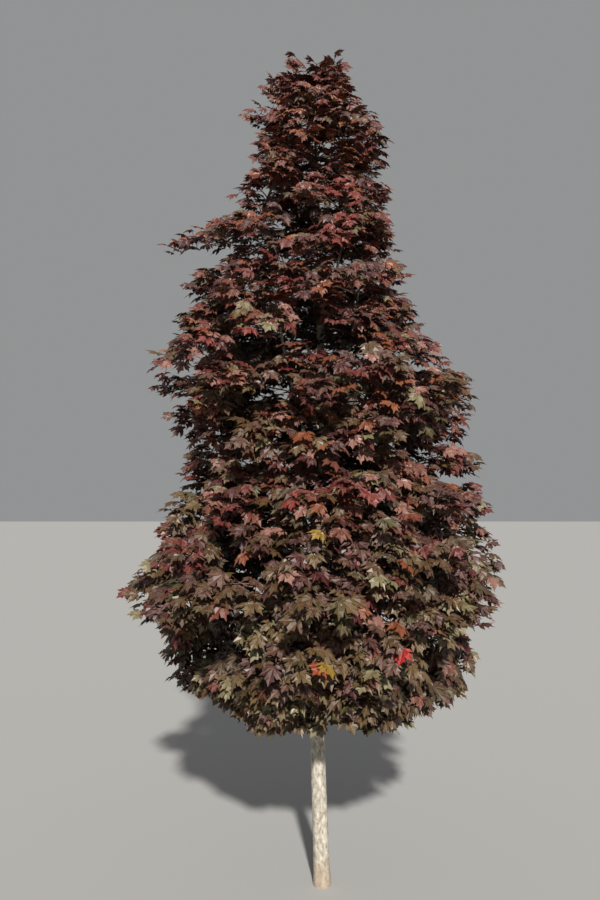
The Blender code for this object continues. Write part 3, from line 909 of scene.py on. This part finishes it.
def wire(tree, kind, output, feeds=(), **settings):
    """Adds a node, makes its settings, links or sets its inputs, and gives one of its outputs."""
    made = tree.nodes.new(kind)
    for name, value in settings.items():
        setattr(made, name, value)
    for name, value in dict(feeds).items():
        target = socket(made.inputs, name)
        if isinstance(value, bpy.types.NodeSocket):
            tree.links.new(value, target)
        else:
            target.default_value = value
    return socket(made.outputs, output)


def linear(colour):
    """A colour of 0 to 255 as the shader wants it."""
    return (*((part / 255) ** GAMMA for part in colour), 1.0)


def new_finish(name, colour):
    """A material of one plain colour, its node tree and its shader."""
    made = bpy.data.materials.new(name)
    made.use_nodes = True
    shader = made.node_tree.nodes["Principled BSDF"]
    fill_in(shader, {"Base Color": linear(colour)})
    return made, made.node_tree, shader


def cloud(tree, place, scale, detail, roughness=0.5):
    """Soft noise of 0 to 1."""
    feeds = {"Vector": place, "Scale": scale, "Detail": detail, "Roughness": roughness}
    return wire(tree, "ShaderNodeTexNoise", "Fac", feeds)


def remap(tree, value, low, high, first=0.0, last=1.0):
    """A value that goes from low to high where the given one goes from first to last."""
    feeds = {"Value": value, "From Min": first, "From Max": last, "To Min": low, "To Max": high}
    return wire(tree, "ShaderNodeMapRange", "Result", feeds)


def stretched(tree, place, scale):
    """A place scaled along each axis, so that a pattern there stretches or shrinks."""
    return wire(tree, "ShaderNodeMapping", "Vector", {"Vector": place, "Scale": scale})


def set_surface(tree, shader, roughness, height, strength, distance):
    """Links a shader's roughness, and a bump of this height and strength."""
    tree.links.new(roughness, shader.inputs["Roughness"])
    feeds = {"Height": height, "Strength": strength, "Distance": distance}
    tree.links.new(wire(tree, "ShaderNodeBump", "Normal", feeds), shader.inputs["Normal"])


print("a mid grey of 128 is", round(linear([128])[0], 3), "to the shader")

# %% Make the leaf finishes
LEAF_ROUGHNESS = (0.42, 0.58)
LEAF_CLOUD = (28.0, 3.0)  # scale and detail
LEAF_COAT = {"Coat Weight": 0.24, "Coat Roughness": 0.33}
LEAF_NET = {"Scale": 9.0, "Distortion": 1.5, "Detail": 2.0}
LEAF_BUMP = (0.5, 0.0010)  # strength and depth
VEIN_COLOUR = (128, 96, 80)


def leaf_finish(name, colour):
    """One plain colour under a thin waxy coat, quilted by a net of veins."""
    made, tree, shader = new_finish(name, colour)
    fill_in(shader, LEAF_COAT)
    rough = cloud(tree, wire(tree, "ShaderNodeTexCoord", "Object"), *LEAF_CLOUD)
    feeds = {"Vector": wire(tree, "ShaderNodeTexCoord", "UV"), **LEAF_NET}
    ribs = wire(tree, "ShaderNodeTexWave", "Fac", feeds, bands_direction="Y")
    set_surface(tree, shader, remap(tree, rough, *LEAF_ROUGHNESS), ribs, *LEAF_BUMP)
    return made


tint_finishes = [leaf_finish("leaf_" + name, colour) for name, colour in TINTS.items()]
vein_finish = leaf_finish("leaf_vein", VEIN_COLOUR)
print("leaf finishes:", len(tint_finishes) + 1)

# %% Make the finishes of stalks, twigs and bark
SKIN_DETAIL = 4.0
SKIN_BUMP = (0.4, 0.0004)
GLOSS_SPREAD = 0.1


def skin_finish(name, colour, roughness, grain):
    """A smooth young skin with fine grain in its gloss and bump."""
    made, tree, shader = new_finish(name, colour)
    speck = cloud(tree, wire(tree, "ShaderNodeTexCoord", "Object"), grain, SKIN_DETAIL)
    rough = remap(tree, speck, roughness - GLOSS_SPREAD, roughness + GLOSS_SPREAD)
    set_surface(tree, shader, rough, speck, *SKIN_BUMP)
    return made


BARK_COLOUR = (178, 169, 150)
BARK_CLOUDS = ((0.40, (128, 121, 108)), (0.50, (168, 161, 147)), (0.60, (200, 195, 184)))
BARK_CLOUD = (62.0, 9.0, 0.78)  # scale, detail and roughness
CLOUD_STRETCH = (1.0, 1.0, 0.55)
BARK_FOOT = (146, 126, 104)
FOOT_HEIGHTS = (0.06, 0.13)
LENTICEL = (112, 102, 88)
LENTICEL_SCALE = 105.0
LENTICEL_STRETCH = (1.0, 1.0, 2.6)
LENTICEL_EDGE = (0.10, 0.30)
STAIN = 0.60  # how strongly lenticels and foot colour the bark
BARK_ROUGHNESS = (0.98, 0.72)
BARK_BUMP = (0.8, 0.0012)


def bark_finish(name):
    """Pale grey-tan bark: soft clouds, a fine grain, dark lenticels and a browner foot."""
    made, tree, shader = new_finish(name, BARK_COLOUR)
    place = wire(tree, "ShaderNodeTexCoord", "Object")
    grain = cloud(tree, stretched(tree, place, CLOUD_STRETCH), *BARK_CLOUD)
    colour = wire(tree, "ShaderNodeValToRGB", "Color", {"Fac": grain})
    ramp = colour.node.color_ramp.elements
    ramp.new(BARK_CLOUDS[1][0])
    for stop, (position, shade) in zip(ramp, BARK_CLOUDS):
        stop.position, stop.color = position, linear(shade)
    feeds = {"Vector": stretched(tree, place, LENTICEL_STRETCH), "Scale": LENTICEL_SCALE}
    speck = wire(tree, "ShaderNodeTexVoronoi", "Distance", feeds)
    dots = remap(tree, speck, STAIN, 0.0, *LENTICEL_EDGE)
    height = wire(tree, "ShaderNodeSeparateXYZ", "Z", {"Vector": place})
    low = remap(tree, height, STAIN, 0.0, *FOOT_HEIGHTS)
    for share, stain in ((dots, LENTICEL), (low, BARK_FOOT)):
        feeds = {"Factor": share, "A": colour, "B": linear(stain)}
        colour = wire(tree, "ShaderNodeMix", "Result", feeds, data_type="RGBA")
    tree.links.new(colour, shader.inputs["Base Color"])
    rise = wire(tree, "ShaderNodeMath", "Value", {0: grain, 1: dots}, operation="SUBTRACT")
    set_surface(tree, shader, remap(tree, grain, *BARK_ROUGHNESS), rise, *BARK_BUMP)
    return made


bark = bark_finish("bark")
twig_skin = skin_finish("twig_skin", (104, 84, 70), 0.62, 260.0)
stalk_skin = skin_finish("stalk_skin", (96, 46, 38), 0.52, 300.0)
print("materials so far:", len(bpy.data.materials))

# %% [markdown]
# ## Round limbs from lines
# Every limb, twig and stalk is a line with a radius at each point. One Geometry Nodes tree sweeps
# a ring along such lines, scales it by the radius and closes the ends. It could be done with
# bevelled curves, but then each line would be its own spline object, and here thousands go in at
# once.

# %% Build the tree that sweeps limbs
def new_tree(name, inputs, output):
    """A Geometry Nodes tree with these inputs and one output, and what it is given."""
    tree = bpy.data.node_groups.new(name, "GeometryNodeTree")
    for label, kind in inputs:
        tree.interface.new_socket(label, in_out="INPUT", socket_type="NodeSocket" + kind)
    tree.interface.new_socket(output, in_out="OUTPUT", socket_type="NodeSocketGeometry")
    return tree, tree.nodes.new("NodeGroupInput").outputs


def attribute(tree, name, kind):
    """A named attribute as an output that can be linked."""
    feeds = {"Name": name}
    return wire(tree, "GeometryNodeInputNamedAttribute", "Attribute", feeds, data_type=kind)


def give_out(tree, geometry):
    tree.links.new(geometry, tree.nodes.new("NodeGroupOutput").inputs[0])


def sweep_tree():
    inputs = (("Lines", "Geometry"), ("Sides", "Int"), ("Skin", "Material"))
    tree, given = new_tree("sweep_limbs", inputs, "Limbs")
    feeds = {"Resolution": given["Sides"], "Radius": 1.0}
    feeds = {
        "Curve": wire(tree, "GeometryNodeMeshToCurve", "Curve", {"Mesh": given["Lines"]}),
        "Profile Curve": wire(tree, "GeometryNodeCurvePrimitiveCircle", "Curve", feeds),
        "Scale": attribute(tree, "radius", "FLOAT"),
        "Fill Caps": True,
    }
    limbs = wire(tree, "GeometryNodeCurveToMesh", "Mesh", feeds)
    smooth = wire(tree, "GeometryNodeSetShadeSmooth", "Geometry", {"Geometry": limbs})
    whole = wire(tree, "GeometryNodeRealizeInstances", "Geometry", {"Geometry": smooth})
    feeds = {"Geometry": whole, "Material": given["Skin"]}
    give_out(tree, wire(tree, "GeometryNodeSetMaterial", "Geometry", feeds))
    return tree


def made_by(tree, maker, name, values):
    """Runs a tree on an object with these inputs, and gives the result as a plain new object."""
    step = maker.modifiers.new(tree.name, "NODES")
    step.node_group = tree
    for item in tree.interface.items_tree:
        if item.name in values:
            step[item.identifier] = values[item.name]
    graph = bpy.context.evaluated_depsgraph_get()
    mesh = bpy.data.meshes.new_from_object(maker.evaluated_get(graph), depsgraph=graph)
    bpy.data.objects.remove(maker)
    mesh.name = name
    return put_in_scene(name, mesh)


def triangles(thing):
    return sum(len(face.vertices) - 2 for face in thing.data.polygons)


def carrier(points, edges, attributes):
    """Loose points or edges that carry attributes, for a tree to work on."""
    mesh = bpy.data.meshes.new("carrier")
    mesh.from_pydata(points, edges, [])
    for name, kind, values in attributes:
        key = "vector" if kind == "FLOAT_VECTOR" else "value"
        mesh.attributes.new(name, kind, "POINT").data.foreach_set(key, values)
    return put_in_scene("carrier", mesh)


def limbs_from(lines, name, sides, skin):
    """Limbs swept along lines, each of which is a pair of points and radii."""
    points, edges, radii = [], [], []
    for line, widths in lines:
        first = len(points)
        points += line
        radii += widths
        edges += [(first + i, first + i + 1) for i in range(len(line) - 1)]
    maker = carrier(points, edges, [("radius", "FLOAT", radii)])
    return made_by(sweep, maker, name, {"Sides": sides, "Skin": skin})


sweep = sweep_tree()
print("nodes in the tree that sweeps limbs:", len(sweep.nodes))

# %% [markdown]
# ## Trunk, boughs and stems
# A young maple's bark is smooth and pale, with shallow ripples, small raised pores and the rings
# that old buds leave. That is relief as well as colour, so the swept meshes are fine enough for it
# and their points are moved in and out by noise. Where a bough leaves the trunk it swells into a
# collar.

# %% Grow the bark
TRUNK_STEP = 0.0055
TRUNK_SIDES = 48
BOUGH_SIDES = 16
STEM_SIDES = 10
COLLAR_SWELL = 0.75
COLLAR_LENGTH = 0.035
RING_EVERY = 0.115  # between the rings that old buds left
RING_SWELL = 0.14
RING_WIDTH = 0.006
TRUNK_RELIEF = 0.0011
BOUGH_RELIEF = 0.0006
RIPPLES = Vector((90, 90, 26))  # per metre along each axis, and so are the next two
GRAIN = 260
PORES = Vector((150, 150, 210))
PORE_FLOOR = 0.35
RELIEF_MIX = (0.6, 0.25, 1.6)  # of ripples, grain and pores
SMOOTHING = (-0.02, -0.01, 0.0, 0.01, 0.02)


def trunk_lines():
    """The trunk as one fine line, its radius smoothed where the table has corners."""
    top = TRUNK_LINE[-1][0]
    count = round(top / TRUNK_STEP)
    line, radii = [], []
    for i in range(count + 1):
        height = top * i / count
        near = [min(max(height + shift, 0.0), top) for shift in SMOOTHING]
        radii.append(sum(between(TRUNK_LINE, z)[2] for z in near) / len(near))
        line.append(sum((trunk_centre(z) for z in near), Vector()) / len(near))
        line[-1].z = height
    return [(line, radii)]


def swollen(line, radii, collar):
    """A limb's radii with a collar at its foot and a faint ring at each old bud."""
    found, gone = [], 0.0
    for i, radius in enumerate(radii):
        gone += (line[i] - line[i - 1]).length if i else 0.0
        swell = collar * math.exp(-((gone / COLLAR_LENGTH) ** 2))
        off_ring = (gone % RING_EVERY) - RING_EVERY / 2
        swell += RING_SWELL * math.exp(-((off_ring / RING_WIDTH) ** 2))
        found.append(radius * (1 + swell))
    return found


def bark_relief(point, amount):
    """How far bark stands in or out here: long ripples, fine grain and raised pores."""
    pore = max(0.0, noise.noise(point * PORES) - PORE_FLOOR)
    relief = (noise.noise(point * RIPPLES), noise.noise(point * GRAIN), pore)
    return amount * sum(share * part for share, part in zip(RELIEF_MIX, relief))


def roughen(thing, amount):
    """Moves points in and out by the bark's relief, but leaves the foot on the floor."""
    normals = [corner.vector.copy() for corner in thing.data.vertex_normals]
    for corner, normal in zip(thing.data.vertices, normals):
        if corner.co.z > TRUNK_STEP / 2:
            corner.co += normal * bark_relief(corner.co, amount)
    thing.data.update()


trunk = limbs_from(trunk_lines(), "trunk_bark", TRUNK_SIDES, bark)
roughen(trunk, TRUNK_RELIEF)
bough_lines = [(line, swollen(line, radii, COLLAR_SWELL)) for line, radii in boughs]
bough_bark = limbs_from(bough_lines, "boughs_bark", BOUGH_SIDES, bark)
roughen(bough_bark, BOUGH_RELIEF)
stem_lines = [(line, swollen(line, radii, 0.0)) for line, radii in stems]
stem_bark = limbs_from(stem_lines, "stems_bark", STEM_SIDES, bark)
print("bark triangles:", triangles(trunk), triangles(bough_bark), triangles(stem_bark))

# %% [markdown]
# ## One leaf
# The blade has five broad lobes that end in points, each with coarse teeth on its shoulders, and
# rounded notches between. Every lobe is folded along its vein, and that crease is what makes a
# maple leaf sparkle half light and half dark. Two long triangles lie over each crease, a shade
# paler. A single sheet is enough for something half a millimetre thick, and with a few dozen faces
# it can be repeated thousands of times.

# %% Draw the blade
# Half an outline, in shares of the midrib: across and along.
BLADE = {
    "root": (0.0, 0.0),
    "ear": (0.09, -0.08),
    "low_tooth": (0.34, -0.13),
    "low_tip": (0.57, -0.01),
    "low_notch": (0.29, 0.13),
    "side_tooth": (0.57, 0.21),
    "side_dip": (0.51, 0.34),
    "side_tip": (0.68, 0.59),
    "side_nick": (0.48, 0.50),
    "side_shoulder": (0.37, 0.57),
    "high_notch": (0.17, 0.41),
    "top_tooth": (0.31, 0.69),
    "top_dip": (0.14, 0.75),
    "tip": (0.0, 1.0),
    "low_vein": (0.29, 0.02),
    "side_vein": (0.33, 0.30),
    "mid_vein": (0.0, 0.55),
}
# The rim of each fan of triangles that meet in the middle of a lobe's vein.
FANS = {
    "mid_vein": ("root", "high_notch", "top_tooth", "top_dip", "tip"),
    "side_vein": (
        *("root", "low_notch", "side_tooth", "side_dip", "side_tip"),
        *("side_nick", "side_shoulder", "high_notch", "root"),
    ),
    "low_vein": ("root", "ear", "low_tooth", "low_tip", "low_notch", "root"),
}
CREASE = 0.09  # of its length, how far the notches stand over the veins
EDGE_LIFT = 0.030
LIFTS = dict.fromkeys(("notch", "ear"), CREASE)
LIFTS |= dict.fromkeys(("tooth", "shoulder", "dip"), EDGE_LIFT)
VEINS = (("mid_vein", "tip"), ("side_vein", "side_tip"), ("low_vein", "low_tip"))
VEIN_WIDTH = 0.011
VEIN_LIFT = 0.006
VEIN_END = 0.9  # of a lobe's length
DROOP_CENTRE = 0.15  # along the midrib, where the droop starts
CHART_START = (0.5, 0.1)  # where the root lies in the UV map
CHART_SIZE = (1.4, 1.2)  # how many midribs the map is wide and high
# How the four shapes differ: droop of the lobes, twist, and curl across.
SHAPES = ((0.10, 0.0, 0.05), (0.26, 0.10, -0.10), (0.40, -0.12, 0.12), (0.20, 0.18, 0.28))


def blade_point(name, way):
    """A named point of the blade on its right (1) or left (-1) half, folded but still level."""
    across, along = BLADE[name]
    return Vector((way * across, along, LIFTS.get(name.split("_")[-1], 0.0)))


def bent(point, shape):
    """The point after the blade's lobes droop, and the blade twists and curls."""
    droop, twist, curl = shape
    out = Vector((point.x, point.y - DROOP_CENTRE)).length
    fall = droop * out**2 + curl * point.x**2
    return Vector((point.x, point.y, point.z - fall + twist * point.x * point.y))


def leaf_shape(name, shape):
    """One blade as an object: its faces, and its veins as narrow strips just over the creases."""
    mesh = bpy.data.meshes.new(name)
    points, faces, veins = [], [], []
    for way in (1, -1):
        places = {corner: len(points) + i for i, corner in enumerate(BLADE)}
        points += [bent(blade_point(corner, way), shape) for corner in BLADE]
        for middle, rim in FANS.items():
            for pair in zip(rim, rim[1:]):
                faces.append([places[corner] for corner in (middle, *pair)][::way])
                veins.append(False)
    for vein in VEINS:
        for way in (1, -1) if vein[0] != "mid_vein" else (1,):
            root, middle, end = (bent(blade_point(name, way), shape) for name in ("root", *vein))
            side = Vector((-(end - root).y, (end - root).x, 0)).normalized() * VEIN_WIDTH
            first = len(points)
            strip = (root, middle - side, middle + side, middle.lerp(end, VEIN_END))
            points += [point + Vector((0, 0, VEIN_LIFT)) for point in strip]
            faces += [(first, first + 1, first + 2), (first + 1, first + 3, first + 2)]
            veins += [True, True]
    mesh.from_pydata(points, [], faces)
    mesh.attributes.new("vein", "BOOLEAN", "FACE").data.foreach_set("value", veins)
    chart = mesh.uv_layers.new(name="blade").data
    for loop in mesh.loops:
        place = zip(CHART_START, mesh.vertices[loop.vertex_index].co, CHART_SIZE)
        chart[loop.index].uv = [start + part / size for start, part, size in place]
    return bpy.data.objects.new(name, mesh)


shapes = bpy.data.collections.new("leaf_shapes")
for number, shape in enumerate(SHAPES):
    shapes.objects.link(leaf_shape(f"leaf_shape_{number}", shape))

# %% [markdown]
# ## Leaves on their stalks
# A second Geometry Nodes tree puts a leaf on every anchor. Each anchor carries its own turn, size,
# shape and tint as attributes, so nothing is left to chance here. After the copies are made real,
# one Set Material per tint finds its own leaves, and the last one finds the veins.

# %% Build the tree that sets leaves
GROWTH = 1.0  # every leaf's length, as a share of its own


def leaf_tree():
    inputs = (("Anchors", "Geometry"), ("Shapes", "Collection"), ("Growth", "Float"))
    tree, given = new_tree("set_leaves", inputs, "Leaves")
    feeds = {"Collection": given["Shapes"], "Separate Children": True, "Reset Children": True}
    turn = {"Euler": attribute(tree, "turn", "FLOAT_VECTOR")}
    size = {0: attribute(tree, "size", "FLOAT"), 1: given["Growth"]}
    feeds = {
        "Points": given["Anchors"],
        "Instance": wire(tree, "GeometryNodeCollectionInfo", "Instances", feeds),
        "Pick Instance": True,
        "Instance Index": attribute(tree, "shape", "INT"),
        "Rotation": wire(tree, "FunctionNodeEulerToRotation", "Rotation", turn),
        "Scale": wire(tree, "ShaderNodeMath", "Value", size, operation="MULTIPLY"),
    }
    leaves = wire(tree, "GeometryNodeInstanceOnPoints", "Instances", feeds)
    flow = wire(tree, "GeometryNodeRealizeInstances", "Geometry", {"Geometry": leaves})
    chosen = []
    for number, finish in enumerate(tint_finishes):
        feeds = {"A": attribute(tree, "tint", "INT"), "B": number}
        ask = {"data_type": "INT", "operation": "EQUAL"}
        chosen.append((wire(tree, "FunctionNodeCompare", "Result", feeds, **ask), finish))
    chosen.append((attribute(tree, "vein", "BOOLEAN"), vein_finish))
    for choice, finish in chosen:
        feeds = {"Geometry": flow, "Selection": choice, "Material": finish}
        flow = wire(tree, "GeometryNodeSetMaterial", "Geometry", feeds)
    give_out(tree, flow)
    return tree


def leaves_from(leaves, name):
    """Leaves set on loose points that carry their turn, size, shape and tint."""
    joints, turns, lengths, numbers, tints = zip(*leaves)
    attributes = (
        ("turn", "FLOAT_VECTOR", [part for turn in turns for part in turn]),
        ("size", "FLOAT", lengths),
        ("shape", "INT", numbers),
        ("tint", "INT", tints),
    )
    maker = carrier(joints, [], attributes)
    return made_by(leaf_nodes, maker, name, {"Shapes": shapes, "Growth": GROWTH})


leaf_nodes = leaf_tree()
print("nodes in the tree that sets leaves:", len(leaf_nodes.nodes))

# %% Dress every tier
TWIG_SIDES = 4
STALK_SIDES = 3
pieces = {}
for tier in [row[0] for row in TIERS] + ["leader"]:
    own = [mass for mass in masses if mass.tier == tier]
    leaves = [leaf for mass in own for leaf in mass.leaves]
    twigs = [line for mass in own for line in mass.twigs]
    stalks = [line for mass in own for line in mass.stalks]
    pieces[tier] = (
        leaves_from(leaves, "leaves_" + tier),
        limbs_from(twigs, "twigs_" + tier, TWIG_SIDES, twig_skin),
        limbs_from(stalks, "stalks_" + tier, STALK_SIDES, stalk_skin),
    )
    counts = [triangles(piece) for piece in pieces[tier]]
    print(tier, "has", len(leaves), "leaves; triangles:", counts)

# %% [markdown]
# ## Hiding the solids that the pieces stand for
# Every new piece rides on the tree's one body. The bark stands for the trunk's and boughs' solids,
# and the leaves, twigs and stalks of a tier stand for that tier's masses. The solids stay behind
# them for anything that touches the tree.

# %% Hand the pieces over
def nodes_named(start):
    return [name for name in cad_nodes if name.startswith(start)]


for piece, start in ((trunk, "trunk"), (bough_bark, "bough_"), (stem_bark, "foliage_")):
    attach(piece, "root")
    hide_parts(*nodes_named(start))
for tier, (leaf_piece, twig_piece, stalk_piece) in pieces.items():
    for piece, slot in ((leaf_piece, "foliage"), (twig_piece, "bark"), (stalk_piece, "foliage")):
        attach(piece, "root")
        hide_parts(*nodes_named("foliage_" + tier))
for pattern in list(shapes.objects):
    bpy.data.objects.remove(pattern)
bpy.data.collections.remove(shapes)

# %% Gather the sizes and finish
sizes = {"cad": [list(corner) for corner in cad_box], "visual": [list(corner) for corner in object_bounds()]}
print("the dressed tree's box:", [[round(x, 3) for x in corner] for corner in sizes["visual"]])
